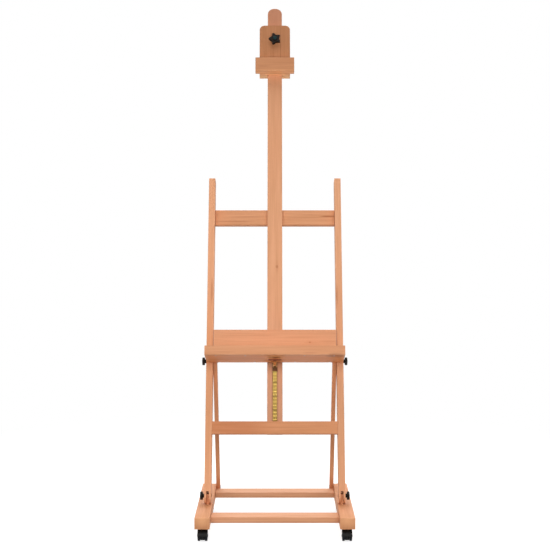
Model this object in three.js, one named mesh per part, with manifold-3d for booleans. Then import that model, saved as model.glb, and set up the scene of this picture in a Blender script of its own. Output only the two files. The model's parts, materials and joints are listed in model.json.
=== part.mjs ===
// Studio easel of steamed beech. A wheeled base of two feet and two rails carries a leaning
// frame of two uprights, two cross rails and a central mast. The frame tilts on two tongues that
// stand in the feet, and two rear struts hold it. A tray slides on the mast and catches in a
// brass rack; a screw clamp slides above it and holds the top of the canvas.
// Millimetres. +Z is up, the front faces -Y, +X is to the viewer's right.
import * as THREE from 'three';
import { mergeVertices } from 'three/addons/utils/BufferGeometryUtils.js';
import Module from 'manifold-3d';

const wasm = await Module();
wasm.setup();

// ---- Fits ---------------------------------------------------------------------------------
const glueGap = 0.3; // between faces that are glued, screwed or pressed together
const slideGap = 0.5; // between faces that slide on each other
const boltGap = 0.3; // round a bolt in its hole
const arris = 0.7; // the rounding of every board's long edges
const corner = 1; // the rounding of a board's four corners
const overcut = 5; // how far a cutting tool runs past the face it opens
const cornerSteps = 1; // curve steps on a board's corners
const roundSteps = 7; // curve steps on round ends and large curves
const turnedSides = 24; // facets round a turned part
const boltSides = 16; // facets round a bolt or its hole

// ---- Base ---------------------------------------------------------------------------------
const baseWidth = 601.2; // over both feet
const footWidth = 56.6;
const footHeight = 43.1;
const footLength = 531;
const casterHeight = 55.4; // floor to the underside of a foot
const baseRailDepth = 68.5; // front to back
const baseRailHeight = 22.2;
const frontRailSetback = 79.5; // front of the feet to the front of the rail
const frontRailLift = 2; // underside of the feet to the underside of the rail
const rearRailSetback = 434;
const rearRailLift = 7;
const tenonLength = 18;
const tenonShoulder = 5; // wood left round a tenon

// ---- Casters ------------------------------------------------------------------------------
const casterSetback = 61; // end of the foot to the swivel axis
const casterTrail = 18; // swivel axis to axle
const wheelRadius = 20;
const wheelPairWidth = 36.6; // at the treads
const wheelGap = 19; // between the two wheels
const hubCrown = 1.4; // how far the wheel covers stand out beyond the treads
const axleRadius = 3;
const hoodWall = 2.8;
const hoodClearance = 1.8; // tread to hood
const hoodWidth = 37.4;
const hoodWebWidth = 17.4;
const hoodWebRadius = 14.5; // about the axle
const hoodBossRadius = 9;
const hoodHeadroom = 3; // top of the hood's boss to the foot
const stemRadius = 5;
const stemLength = 34; // inside the foot

// ---- Leaning frame ------------------------------------------------------------------------
const lean = THREE.MathUtils.degToRad(18.8); // from the vertical, backwards
const tiltRange = THREE.MathUtils.degToRad(12); // how far it comes forward
const pivotSetback = 209; // front of the feet to the pivot bolt
const frameWidth = 549.2; // over both uprights
const uprightThickness = 26.2;
const uprightDepth = 58;
const uprightTop = 1303.7; // pivot bolt to the upper end
const heelRadius = 31; // rounded lower end, about the pivot bolt
const heelClearance = 0.5; // heel to foot
const forkWidth = 11;
const forkReach = 14.5; // pivot bolt to the end of the fork's slot
const tongueThickness = 10;
const tongueRadius = 11.5;
const tongueTenon = 30; // depth in the foot
const mastWidth = 61.2;
const mastThickness = 22;
const mastTop = 2095; // pivot bolt to the upper end, along the mast
const mastFoot = 238;
const mastCrown = 27; // rounding of the two upper corners
const crossRailThickness = 17;
const upperRailFoot = 1109.6;
const upperRailHeight = 67;
const lowerRailFoot = 236;
const lowerRailHeight = 51;
const frameTenonThickness = 8;
const frameTenonShoulder = 8;

// ---- Bolts and hand knobs -----------------------------------------------------------------
const boltRadius = 4;
const boltHeadRadius = 8;
const boltHeadHeight = 3;
const sideKnobRadius = 16;
const sideKnobLobes = 8;
const sideKnobLobeDepth = 1.6;
const sideKnobGrip = 10.2; // thickness of the grip
const sideKnobRound = 1.2;
const sideKnobNeck = 6.6; // upright to the grip
const sideKnobNeckRadius = 8;
const threadReach = 10; // bolt inside a knob

// ---- Rear struts --------------------------------------------------------------------------
const strutBoltUp = 532.9; // pivot bolt to strut bolt, along the upright
const strutFootSetback = 516.8; // front of the feet to the strut's lower bolt
const strutFootUp = 32.4; // underside of the feet to the strut's lower bolt
const strutWidth = 27;
const strutThickness = 16;
const tiltSlotWidth = 11; // wider than the bolt, because the strut bolt strays from the slot's line
const tiltSlotSlack = 0.3; // past the bolt at the slot's upper end
const tiltSlotRunOut = 1; // past the bolt's lowest place in the slot
const footBoltReach = 42; // strut's lower bolt inside the foot

// ---- Ratchet rack in the mast ---------------------------------------------------------------
const grooveWidth = 21.4;
const grooveDepth = 8;
const grooveRound = 3;
const grooveFoot = 283;
const grooveTop = 657;
const rackWidth = 16.4;
const rackBase = 3.2; // strip under the teeth
const toothHeight = 3;
const toothPitch = 14;
const toothRootFlat = 2.8; // flat between one tooth's catching face and the next one's ramp

// ---- Tray -----------------------------------------------------------------------------------
const trayUp = 522.5; // pivot bolt to the tray's underside, along the mast
const trayWidth = 545.8;
const trayDepth = 160.7; // over bottom board and lip
const trayStandoff = 0.4; // tray to the front of the uprights
const trayBottomThickness = 12;
const lipThickness = 15;
const lipHeight = 36.6;
const trayEndThickness = 12;
const trayEndHeight = 22;
const ledgeWidth = 490.4;
const ledgeThickness = 18;
const ledgeTop = 130.5; // tray's underside to the top of the canvas ledge
const sliderFoot = 22; // tray's underside to the slider
const sliderHeight = 100;
const cheekThickness = 17;
const sliderBackThickness = 10;

// ---- Pawl -----------------------------------------------------------------------------------
const pawlSeatDrop = 30.9; // tray's underside to the tooth it stands on
const pawlPinUp = 25.5; // tray's underside to the pin
const pawlPinStandoff = 5.5; // mast to the pin
const pawlPinRadius = 2;
const pawlPinHeadRadius = 3.4;
const pawlPinHeadHeight = 1.6;
const pawlWidth = 20; // at the pin
const pawlWaist = 10; // at the tray's underside
const pawlNoseWidth = 17.4;
const pawlNoseTop = 17; // tray's underside to the nose
const pawlArm = 2.8; // width of the two arms above the nose
const pawlShank = 5; // thickness
const pawlNose = 8; // height of the part that enters the groove
const pawlHubRadius = 4.8;
const pawlTipGap = 0.4; // tip to tooth
const pawlBite = 0.7; // tooth root to the tip
const releaseWidth = 53;
const releaseDepth = 20;
const releaseReach = 142; // middle of the mast to the front of the release plate
const releaseStemWidth = 10;
const releaseThickness = 1.8;
const releaseDrop = 9.4; // tray's underside to the release plate's underside
const bracketSheet = 2;
const bracketWidth = 30;
const bracketReach = 46; // middle of the mast to the front of the bracket
const bracketEarGap = 1; // pawl to ear
const bracketWebUp = 38;
const bracketEarRadius = 5.4;

// ---- Canvas clamp ---------------------------------------------------------------------------
const clampUp = 1777.8; // pivot bolt to the clamp's underside, along the mast
const clampWidth = 131;
const clampPlateHeight = 228.4;
const clampPlateThickness = 16;
const clampPlateRound = 21;
const clampSleeveHeight = 208;
const clampBackThickness = 8.5;
const headBlockWidth = 165.6;
const headBlockHeight = 62.4;
const headBlockThickness = 32.4;
const clampScrewUp = 159; // clamp's underside to the screw
const clampInsertRadius = 7;
const clampInsertLength = 9;
const padRadius = 10;
const padThickness = 3.2;
const screwTravel = 2.5; // the pad's way back from the mast
const starKnobRadius = 26.8;
const starKnobLobes = 5;
const starKnobLobeDepth = 9;
const starKnobPoint = 0.62; // below 1, the lobes narrow to points
const starKnobGrip = 14;
const starKnobRound = 1.6;
const starKnobNeck = 5;
const starKnobNeckRadius = 10;
const starKnobBossRadius = 9.5;
const starKnobBossHeight = 3.5;

// ---- Worked out from the sizes above ----------------------------------------------------------
const footInner = baseWidth / 2 - footWidth;
const footMiddle = baseWidth / 2 - footWidth / 2;
const footTop = casterHeight + footHeight;
const pivotUp = footTop + heelClearance + heelRadius;
const uprightOuter = frameWidth / 2;
const uprightInner = uprightOuter - uprightThickness;
const uprightMiddle = uprightOuter - uprightThickness / 2;
const mastFace = mastThickness / 2;
const frameFront = uprightDepth / 2;
const trayBack = frameFront + trayStandoff; // distances in front of the mast's middle plane
const trayFront = trayBack + trayDepth;
const totalDepth = pivotSetback + (mastTop - arris) * Math.sin(lean) + mastFace * Math.cos(lean);
const strutFoot = new THREE.Vector2(strutFootSetback, casterHeight + strutFootUp);
const strutBolt = alongUpright(strutBoltUp, lean);
const strutLength = strutBolt.distanceTo(strutFoot);
const strutLean = Math.atan2(strutFoot.x - strutBolt.x, strutBolt.y - strutFoot.y);

// A point on the uprights' middle line, seen from the side, as (distance behind the front of the
// feet, height).
function alongUpright(up, angle) {
  return new THREE.Vector2(pivotSetback + up * Math.sin(angle), pivotUp + up * Math.cos(angle));
}

// Where the strut bolt lies along the upright when the frame stands at a given angle.
function strutBoltUpAt(angle) {
  const toPivot = new THREE.Vector2(pivotSetback - strutFoot.x, pivotUp - strutFoot.y);
  const half = toPivot.x * Math.sin(angle) + toPivot.y * Math.cos(angle);
  return -half + Math.sqrt(half * half - toPivot.lengthSq() + strutLength * strutLength);
}

// ---- Materials --------------------------------------------------------------------------------
const beech = new THREE.MeshStandardMaterial({ color: '#dca077', roughness: 0.55 });
const brass = new THREE.MeshStandardMaterial({ color: '#c9a45a', roughness: 0.35, metalness: 1 });
const bronzedSteel = new THREE.MeshStandardMaterial({ color: '#5a3c22', roughness: 0.45, metalness: 1 });
const zincSteel = new THREE.MeshStandardMaterial({ color: '#b9b9b4', roughness: 0.35, metalness: 1 });
const blackPlastic = new THREE.MeshStandardMaterial({ color: '#23211f', roughness: 0.45 });
const casterPlastic = new THREE.MeshStandardMaterial({ color: '#37342f', roughness: 0.5 });
const wheelPlastic = new THREE.MeshStandardMaterial({ color: '#1e2027', roughness: 0.4 });

// ---- Outlines and solids ------------------------------------------------------------------------
function rectangle(x0, y0, x1, y1, radius = corner) {
  const shape = new THREE.Shape();
  shape.moveTo(x0 + radius, y0);
  shape.lineTo(x1 - radius, y0);
  shape.absarc(x1 - radius, y0 + radius, radius, -Math.PI / 2, 0);
  shape.lineTo(x1, y1 - radius);
  shape.absarc(x1 - radius, y1 - radius, radius, 0, Math.PI / 2);
  shape.lineTo(x0 + radius, y1);
  shape.absarc(x0 + radius, y1 - radius, radius, Math.PI / 2, Math.PI);
  shape.lineTo(x0, y0 + radius);
  shape.absarc(x0 + radius, y0 + radius, radius, Math.PI, Math.PI * 1.5);
  return shape;
}

// Two equal half rounds joined by straight sides, along the second axis.
function stadium(x, y0, y1, radius) {
  const shape = new THREE.Shape();
  shape.absarc(x, y1, radius, 0, Math.PI);
  shape.absarc(x, y0, radius, Math.PI, Math.PI * 2);
  shape.closePath();
  return shape;
}

function polygon(points) {
  return new THREE.Shape(points.map(([x, y]) => new THREE.Vector2(x, y)));
}

function extrude(outline, thickness, round, steps) {
  const geometry = new THREE.ExtrudeGeometry(outline, {
    depth: thickness - 2 * round,
    curveSegments: steps,
    bevelEnabled: round > 0,
    bevelThickness: round,
    bevelSize: round,
    bevelOffset: -round,
    bevelSegments: 1,
  });
  return geometry.translate(0, 0, round);
}

const axisX = new THREE.Vector3(1, 0, 0);
const axisY = new THREE.Vector3(0, 1, 0);
const axisZ = new THREE.Vector3(0, 0, 1);

// Solids whose outline lies across X (drawn in y, z), across Y (x, z) or across Z (x, y).
function acrossX(outline, x0, x1, round = arris, steps = cornerSteps) {
  const turn = new THREE.Matrix4().makeBasis(axisY, axisZ, axisX);
  return extrude(outline, x1 - x0, round, steps).applyMatrix4(turn).translate(x0, 0, 0);
}

function acrossY(outline, y0, y1, round = arris, steps = cornerSteps) {
  const turn = new THREE.Matrix4().makeBasis(axisX, axisZ, axisY.clone().negate());
  return extrude(outline, y1 - y0, round, steps).applyMatrix4(turn).translate(0, y1, 0);
}

function acrossZ(outline, z0, z1, round = arris, steps = cornerSteps) {
  return extrude(outline, z1 - z0, round, steps).translate(0, 0, z0);
}

function block(x0, x1, y0, y1, z0, z1) {
  const box = new THREE.BoxGeometry(x1 - x0, y1 - y0, z1 - z0);
  return box.translate((x0 + x1) / 2, (y0 + y1) / 2, (z0 + z1) / 2);
}

// A turned solid about X, from a profile of [radius, x] points that starts and ends on the axis.
function turnedX(profile, facets = turnedSides) {
  const points = profile.map(([radius, x]) => new THREE.Vector2(radius, x));
  return new THREE.LatheGeometry(points, facets).rotateZ(-Math.PI / 2);
}

function turnedZ(profile, facets = turnedSides) {
  const points = profile.map(([radius, z]) => new THREE.Vector2(radius, z));
  return new THREE.LatheGeometry(points, facets).rotateX(Math.PI / 2);
}

function rodX(radius, x0, x1, y, z) {
  const profile = [[0, x0], [radius, x0], [radius, x1], [0, x1]];
  return turnedX(profile, boltSides).translate(0, y, z);
}

function rodY(radius, y0, y1, x, z) {
  return rodX(radius, y0, y1, 0, 0).rotateZ(Math.PI / 2).translate(x, 0, z);
}

function rodZ(radius, z0, z1, x, y) {
  const profile = [[0, z0], [radius, z0], [radius, z1], [0, z1]];
  return turnedZ(profile, boltSides).translate(x, y, 0);
}

function toSolid(geometry) {
  const bare = geometry.clone();
  bare.deleteAttribute('normal');
  bare.deleteAttribute('uv');
  const merged = mergeVertices(bare, 1e-4);
  const mesh = new wasm.Mesh({
    numProp: 3,
    vertProperties: new Float32Array(merged.attributes.position.array),
    triVerts: new Uint32Array(merged.index.array),
  });
  return new wasm.Manifold(mesh);
}

function toGeometry(solid) {
  const mesh = solid.getMesh();
  const geometry = new THREE.BufferGeometry();
  geometry.setAttribute('position', new THREE.BufferAttribute(mesh.vertProperties, 3));
  geometry.setIndex(new THREE.BufferAttribute(mesh.triVerts, 1));
  return geometry;
}

function cut(body, ...tools) {
  return toGeometry(tools.reduce((left, tool) => left.subtract(toSolid(tool)), toSolid(body)));
}

function join(body, ...others) {
  return toGeometry(others.reduce((sum, other) => sum.add(toSolid(other)), toSolid(body)));
}

function place(parent, name, geometry, material) {
  const mesh = new THREE.Mesh(geometry, material);
  mesh.name = name;
  parent.add(mesh);
}

const sides = [['left', -1], ['right', 1]];

// A span from a to b in the middle-outward direction, on the left (-1) or right (1) side.
function span(side, a, b) {
  return side > 0 ? [a, b] : [-b, -a];
}

// ---- Base ---------------------------------------------------------------------------------------
const frontRail = {
  front: frontRailSetback,
  back: frontRailSetback + baseRailDepth,
  foot: casterHeight + frontRailLift,
  top: casterHeight + frontRailLift + baseRailHeight,
};
const rearRail = {
  front: rearRailSetback,
  back: rearRailSetback + baseRailDepth,
  foot: casterHeight + rearRailLift,
  top: casterHeight + rearRailLift + baseRailHeight,
};
const casterPlaces = [
  ['front', casterSetback, -1],
  ['rear', footLength - casterSetback, 1],
];

// The tenon at a rail's end; gap widens it into the mortise that takes it.
function railTenon(rail, x0, x1, gap) {
  const edge = tenonShoulder - gap;
  return block(x0, x1, rail.front + edge, rail.back - edge, rail.foot + edge, rail.top - edge);
}

function footGeometry(side) {
  const board = acrossX(
    rectangle(0, casterHeight, footLength, footTop),
    ...span(side, footInner, baseWidth / 2),
  );
  const mortises = [frontRail, rearRail].map((rail) =>
    railTenon(rail, ...span(side, footInner - overcut, footInner + tenonLength + glueGap), glueGap));
  const tongueHalf = tongueThickness / 2 + glueGap;
  const tongueMortise = block(
    ...span(side, uprightMiddle - tongueHalf, uprightMiddle + tongueHalf),
    pivotSetback - tongueRadius - glueGap,
    pivotSetback + tongueRadius + glueGap,
    footTop - tongueTenon - glueGap,
    footTop + overcut,
  );
  const sockets = casterPlaces.map(([, setback]) => rodZ(
    stemRadius + boltGap,
    casterHeight - overcut,
    casterHeight + stemLength + glueGap,
    side * footMiddle,
    setback,
  ));
  const strutHole = rodX(
    boltRadius + boltGap,
    ...span(side, footInner - overcut, footInner + footBoltReach + glueGap),
    strutFoot.x,
    strutFoot.y,
  );
  return cut(board, ...mortises, tongueMortise, ...sockets, strutHole);
}

function baseRailGeometry(rail) {
  const end = footInner - glueGap;
  const board = acrossX(rectangle(rail.front, rail.foot, rail.back, rail.top), -end, end);
  const reach = footInner + tenonLength;
  return join(board, railTenon(rail, -reach, -end + arris, 0), railTenon(rail, end - arris, reach, 0));
}

// A flat tongue with a round head about the pivot bolt, tenoned into the foot.
function tongueGeometry(side) {
  const outline = new THREE.Shape();
  outline.moveTo(pivotSetback - tongueRadius, footTop - tongueTenon);
  outline.lineTo(pivotSetback + tongueRadius, footTop - tongueTenon);
  outline.absarc(pivotSetback, pivotUp, tongueRadius, 0, Math.PI);
  outline.closePath();
  const half = tongueThickness / 2;
  const board = acrossX(outline, ...span(side, uprightMiddle - half, uprightMiddle + half), 0.8, roundSteps);
  const hole = rodX(
    boltRadius + boltGap,
    ...span(side, uprightMiddle - uprightThickness, uprightMiddle + uprightThickness),
    pivotSetback,
    pivotUp,
  );
  return cut(board, hole);
}

// ---- Casters --------------------------------------------------------------------------------------
const hoodInside = wheelRadius + hoodClearance;
const hoodOutside = hoodInside + hoodWall;
const hoodTop = casterHeight - hoodHeadroom;

// Two wheels on one axle, turned as one piece about X.
function wheelPairGeometry() {
  const outer = wheelPairWidth / 2;
  const inner = wheelGap / 2;
  const rim = wheelRadius - 4;
  const oneWheel = [
    [0, -outer - hubCrown],
    [rim * 0.6, -outer - hubCrown * 0.8],
    [rim - 0.5, -outer - hubCrown * 0.2],
    [rim, -outer + 0.8],
    [rim + 0.5, -outer],
    [wheelRadius - 1.2, -outer],
    [wheelRadius, -outer + 1.2],
    [wheelRadius, -inner],
    [axleRadius, -inner],
  ];
  const otherWheel = oneWheel.map(([radius, x]) => [radius, -x]).reverse();
  return turnedX([...oneWheel, ...otherWheel]);
}

// A mudguard over both wheels, a web between them that holds the axle, and a swivel boss.
// The axle lies at y = 0; the swivel axis at y = toward * casterTrail.
function hoodGeometry(toward) {
  const half = hoodWidth / 2;
  const low = -0.12;
  const high = Math.PI - 0.12;
  const guard = new THREE.Shape();
  guard.absarc(0, wheelRadius, hoodOutside, low, high);
  guard.absarc(0, wheelRadius, hoodInside, high, low, true);
  guard.closePath();
  const webHalf = hoodWebWidth / 2;
  const web = new THREE.Shape();
  web.absarc(0, wheelRadius, hoodInside + hoodWall / 2, low, high);
  web.absarc(0, wheelRadius, hoodWebRadius, Math.PI, Math.PI * 2);
  web.closePath();
  const boss = rodZ(hoodBossRadius, wheelRadius + hoodInside * 0.9, hoodTop, 0, casterTrail);
  const gusset = acrossX(
    polygon([
      [hoodInside * 0.3, wheelRadius + hoodInside],
      [casterTrail - 3, wheelRadius + 10],
      [hoodOutside - 0.5, wheelRadius + 2],
      [casterTrail + hoodBossRadius, hoodTop - 8],
      [casterTrail + hoodBossRadius - 1, hoodTop - 2],
      [0, hoodTop - 8],
    ]),
    -webHalf + 1,
    webHalf - 1,
    0,
  );
  const whole = join(
    acrossX(guard, -half, half, 0.6, roundSteps),
    acrossX(web, -webHalf, webHalf, 0, roundSteps),
    gusset,
    boss,
  );
  const bore = rodX(axleRadius + boltGap, -half, half, 0, wheelRadius);
  const stemBore = rodZ(stemRadius + boltGap, hoodTop - 10, hoodTop + overcut, 0, casterTrail);
  const hood = cut(whole, bore, stemBore);
  return toward > 0 ? hood : hood.rotateZ(Math.PI);
}

// A steel stem with a collar, from the hood's boss up into the foot.
function stemGeometry() {
  const collar = casterHeight - glueGap;
  return turnedZ([
    [0, hoodTop - 9.5],
    [stemRadius, hoodTop - 9.5],
    [stemRadius, hoodTop + glueGap],
    [hoodBossRadius, hoodTop + glueGap],
    [hoodBossRadius, collar],
    [stemRadius, collar],
    [stemRadius, casterHeight + stemLength - 1.5],
    [stemRadius - 1.5, casterHeight + stemLength],
    [0, casterHeight + stemLength],
  ], boltSides);
}

function addCaster(parent, name, x, setback, away) {
  const caster = new THREE.Group();
  caster.position.set(x, setback, 0);
  parent.add(caster);
  place(caster, `${name}_caster_stem`, stemGeometry(), zincSteel);
  const axle = away * casterTrail;
  place(caster, `${name}_caster_hood`, hoodGeometry(-away).translate(0, axle, 0), casterPlastic);
  place(caster, `${name}_caster_wheels`, wheelPairGeometry().translate(0, axle, wheelRadius), wheelPlastic);
}

// ---- Leaning frame ----------------------------------------------------------------------------------
// The frame's own axes: its origin is on the pivot bolts, +Z runs up the uprights, -Y is the front.
const upperRail = {
  front: mastFace + glueGap,
  back: mastFace + glueGap + crossRailThickness,
  foot: upperRailFoot,
  top: upperRailFoot + upperRailHeight,
};
const lowerRail = {
  front: -mastFace - glueGap - crossRailThickness,
  back: -mastFace - glueGap,
  foot: lowerRailFoot,
  top: lowerRailFoot + lowerRailHeight,
};

function crossTenon(rail, x0, x1, gap) {
  const middle = (rail.front + rail.back) / 2;
  const half = frameTenonThickness / 2 + gap;
  const edge = frameTenonShoulder - gap;
  return block(x0, x1, middle - half, middle + half, rail.foot + edge, rail.top - edge);
}

function crossRailGeometry(rail) {
  const end = uprightInner - glueGap;
  const reach = uprightInner + tenonLength;
  const board = acrossX(rectangle(rail.front, rail.foot, rail.back, rail.top), -end, end);
  return join(board, crossTenon(rail, -reach, -end + arris, 0), crossTenon(rail, end - arris, reach, 0));
}

// The slot in which the strut bolt runs: its upper end stops the bolt at the full lean.
function tiltSlot() {
  const radius = tiltSlotWidth / 2;
  const spare = radius - boltRadius - tiltSlotSlack;
  const top = strutBoltUp - spare;
  const foot = strutBoltUpAt(lean - tiltRange) - tiltSlotRunOut;
  return stadium(0, foot, top, radius);
}

function uprightGeometry(side) {
  const half = frameFront;
  const heel = Math.sqrt(heelRadius * heelRadius - half * half);
  const heelAngle = Math.atan2(heel, half);
  const outline = new THREE.Shape();
  outline.absarc(0, 0, heelRadius, Math.PI + heelAngle, Math.PI * 2 - heelAngle);
  outline.lineTo(half, uprightTop - corner);
  outline.absarc(half - corner, uprightTop - corner, corner, 0, Math.PI / 2);
  outline.lineTo(-half + corner, uprightTop);
  outline.absarc(-half + corner, uprightTop - corner, corner, Math.PI / 2, Math.PI);
  outline.closePath();
  const board = acrossX(outline, ...span(side, uprightInner, uprightOuter), arris, roundSteps);
  const through = span(side, uprightInner - overcut, uprightOuter + overcut);
  const fork = block(
    ...span(side, uprightMiddle - forkWidth / 2, uprightMiddle + forkWidth / 2),
    -half - overcut,
    half + overcut,
    -heelRadius - overcut,
    forkReach,
  );
  const boltHole = rodX(boltRadius + boltGap, ...through, 0, 0);
  const slot = acrossX(tiltSlot(), ...through, 0, roundSteps);
  const mortises = [upperRail, lowerRail].map((rail) =>
    crossTenon(rail, ...span(side, uprightInner - overcut, uprightInner + tenonLength + glueGap), glueGap));
  return cut(board, fork, boltHole, slot, ...mortises);
}

function mastGeometry() {
  const half = mastWidth / 2;
  const outline = new THREE.Shape();
  outline.moveTo(-half, mastFoot);
  outline.lineTo(half, mastFoot);
  outline.absarc(half - mastCrown, mastTop - mastCrown, mastCrown, 0, Math.PI / 2);
  outline.absarc(-half + mastCrown, mastTop - mastCrown, mastCrown, Math.PI / 2, Math.PI);
  outline.closePath();
  const groove = acrossY(
    rectangle(-grooveWidth / 2, grooveFoot, grooveWidth / 2, grooveTop, grooveRound),
    -mastFace - overcut,
    -mastFace + grooveDepth,
    0,
    roundSteps / 2,
  );
  return cut(acrossY(outline, -mastFace, mastFace, arris, roundSteps), groove);
}

// ---- Ratchet: rack in the mast, pawl under the tray ---------------------------------------------------
// Seen from the side. The catching faces of the teeth, and the pawl's lower face, lie along the
// circle on which the tip swings out.
const rackBack = -mastFace + grooveDepth - glueGap;
const toothRoot = rackBack - rackBase;
const toothCrest = toothRoot - toothHeight;
const pawlPinY = -mastFace - pawlPinStandoff;
const pawlSlope = (toothRoot - pawlPinY) / (pawlPinUp + pawlSeatDrop);
const toothDrop = toothHeight * pawlSlope;
const flangeDrop = bracketSheet + glueGap; // tray's underside to the bracket's underside

function rackGeometry() {
  const foot = grooveFoot + glueGap;
  const top = grooveTop - glueGap;
  const seat = trayUp - pawlSeatDrop;
  const first = Math.ceil((foot - seat - toothRootFlat) / toothPitch + 1);
  const last = Math.floor((top - seat) / toothPitch);
  const points = [[rackBack, top], [rackBack, foot], [toothRoot, foot]];
  for (let tooth = first; tooth <= last; tooth += 1) {
    const catchUp = seat + tooth * toothPitch;
    points.push([toothRoot, catchUp - toothPitch + toothRootFlat]);
    points.push([toothCrest, catchUp - toothDrop]);
    points.push([toothRoot, catchUp]);
  }
  points.push([toothRoot, top]);
  return acrossX(polygon(points), -rackWidth / 2, rackWidth / 2, 0);
}

// In the tray's axes: z = 0 is the tray's underside. The pawl hangs from its pin as two arms that
// spread to a broad nose. A stem runs forward under the tray to the plate that fingers press.
function pawlGeometry() {
  const front = pawlPinY - pawlShank / 2;
  const back = pawlPinY + pawlShank / 2;
  const tip = toothRoot - pawlBite;
  const lower = (y) => -pawlSeatDrop + pawlTipGap + (y - toothRoot) * pawlSlope;
  const sideView = acrossX(
    polygon([
      [tip, lower(tip)],
      [tip, lower(tip) + toothRootFlat],
      [toothCrest, pawlNose - pawlSeatDrop],
      [back, pawlNose * 2 - pawlSeatDrop],
      [back, pawlPinUp],
      [front, pawlPinUp],
      [front, lower(front)],
    ]),
    -pawlWidth / 2,
    pawlWidth / 2,
    0,
  );
  const frontView = acrossY(pawlFrontOutline(), front - overcut, mastFace, 0);
  const hub = rodX(pawlHubRadius, -pawlWidth / 2, pawlWidth / 2, pawlPinY, pawlPinUp);
  const shank = toGeometry(toSolid(sideView).intersect(toSolid(frontView)));
  const pinHole = rodX(pawlPinRadius + boltGap, -pawlWidth, pawlWidth, pawlPinY, pawlPinUp);
  return cut(join(shank, hub, releaseGeometry(front)), pinHole);
}

function pawlFrontOutline() {
  const half = pawlWidth / 2;
  const waist = pawlWaist / 2;
  const nose = pawlNoseWidth / 2;
  const foot = -pawlSeatDrop - overcut;
  const outline = polygon([
    [-nose, foot],
    [nose, foot],
    [nose, -pawlNoseTop],
    [waist, -releaseDrop + releaseThickness],
    [half, pawlPinUp / 2],
    [half, pawlPinUp],
    [-half, pawlPinUp],
    [-half, pawlPinUp / 2],
    [-waist, -releaseDrop + releaseThickness],
    [-nose, -pawlNoseTop],
  ]);
  const window = new THREE.Path();
  window.moveTo(nose - pawlArm, -pawlNoseTop - 1);
  window.lineTo(-nose + pawlArm, -pawlNoseTop - 1);
  window.lineTo(0, -releaseDrop - 1);
  window.closePath();
  outline.holes.push(window);
  return outline;
}

// The stem and the plate at its front end, as one piece of sheet.
function releaseGeometry(shankFront) {
  const stem = releaseStemWidth / 2;
  const half = releaseWidth / 2;
  const plateBack = -releaseReach + releaseDepth;
  const outline = polygon([
    [-stem, shankFront + pawlShank / 2],
    [-stem, plateBack + stem],
    [-stem - 3, plateBack],
    [-half + 2, plateBack],
    [-half, plateBack - 3],
    [-half, -releaseReach + 6],
    [-half + 5, -releaseReach],
    [half - 5, -releaseReach],
    [half, -releaseReach + 6],
    [half, plateBack - 3],
    [half - 2, plateBack],
    [stem + 3, plateBack],
    [stem, plateBack + stem],
    [stem, shankFront + pawlShank / 2],
  ]);
  return acrossZ(outline, -releaseDrop, -releaseDrop + releaseThickness, 0);
}

function pawlBracketGeometry() {
  const webBack = -trayBack + glueGap + bracketSheet;
  const webFront = -trayBack + glueGap;
  const earInner = pawlWidth / 2 + bracketEarGap;
  const earOuter = earInner + bracketSheet;
  const flange = acrossZ(
    rectangle(-bracketWidth / 2, -bracketReach, bracketWidth / 2, webBack, 4),
    -flangeDrop,
    -glueGap,
    0,
  );
  const web = block(-earOuter, earOuter, webFront, webBack, -flangeDrop, bracketWebUp);
  const ear = new THREE.Shape();
  ear.moveTo(webFront, pawlPinUp - 9);
  ear.absarc(pawlPinY, pawlPinUp, bracketEarRadius, -Math.PI / 3, Math.PI / 3);
  ear.lineTo(webFront, pawlPinUp + 9);
  ear.closePath();
  const ears = sides.map(([, side]) => acrossX(ear, ...span(side, earInner, earOuter), 0, roundSteps / 2));
  const pinHole = rodX(pawlPinRadius + boltGap, -earOuter * 2, earOuter * 2, pawlPinY, pawlPinUp);
  return cut(join(flange, web, ...ears), pinHole);
}

function pawlPinGeometry() {
  const headBack = pawlWidth / 2 + bracketEarGap + bracketSheet + boltGap;
  const end = headBack + pawlPinHeadHeight;
  return turnedX([
    [0, -end],
    [pawlPinHeadRadius, -end],
    [pawlPinHeadRadius, -headBack],
    [pawlPinRadius, -headBack],
    [pawlPinRadius, headBack],
    [pawlPinHeadRadius, headBack],
    [pawlPinHeadRadius, end],
    [0, end],
  ], boltSides).translate(0, pawlPinY, pawlPinUp);
}

// ---- Bolts and knobs ------------------------------------------------------------------------------------
// A bolt along X with a low domed head at its inner end.
function boltGeometry(side, headBack, end, y, z) {
  const profile = [
    [0, headBack - boltHeadHeight],
    [boltHeadRadius * 0.6, headBack - boltHeadHeight + 0.6],
    [boltHeadRadius, headBack - glueGap - 0.6],
    [boltHeadRadius, headBack - glueGap],
    [boltRadius, headBack - glueGap],
    [boltRadius, end],
    [0, end],
  ];
  const bolt = turnedX(profile, boltSides);
  if (side < 0) bolt.rotateZ(Math.PI);
  return bolt.translate(0, y, z);
}

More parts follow.
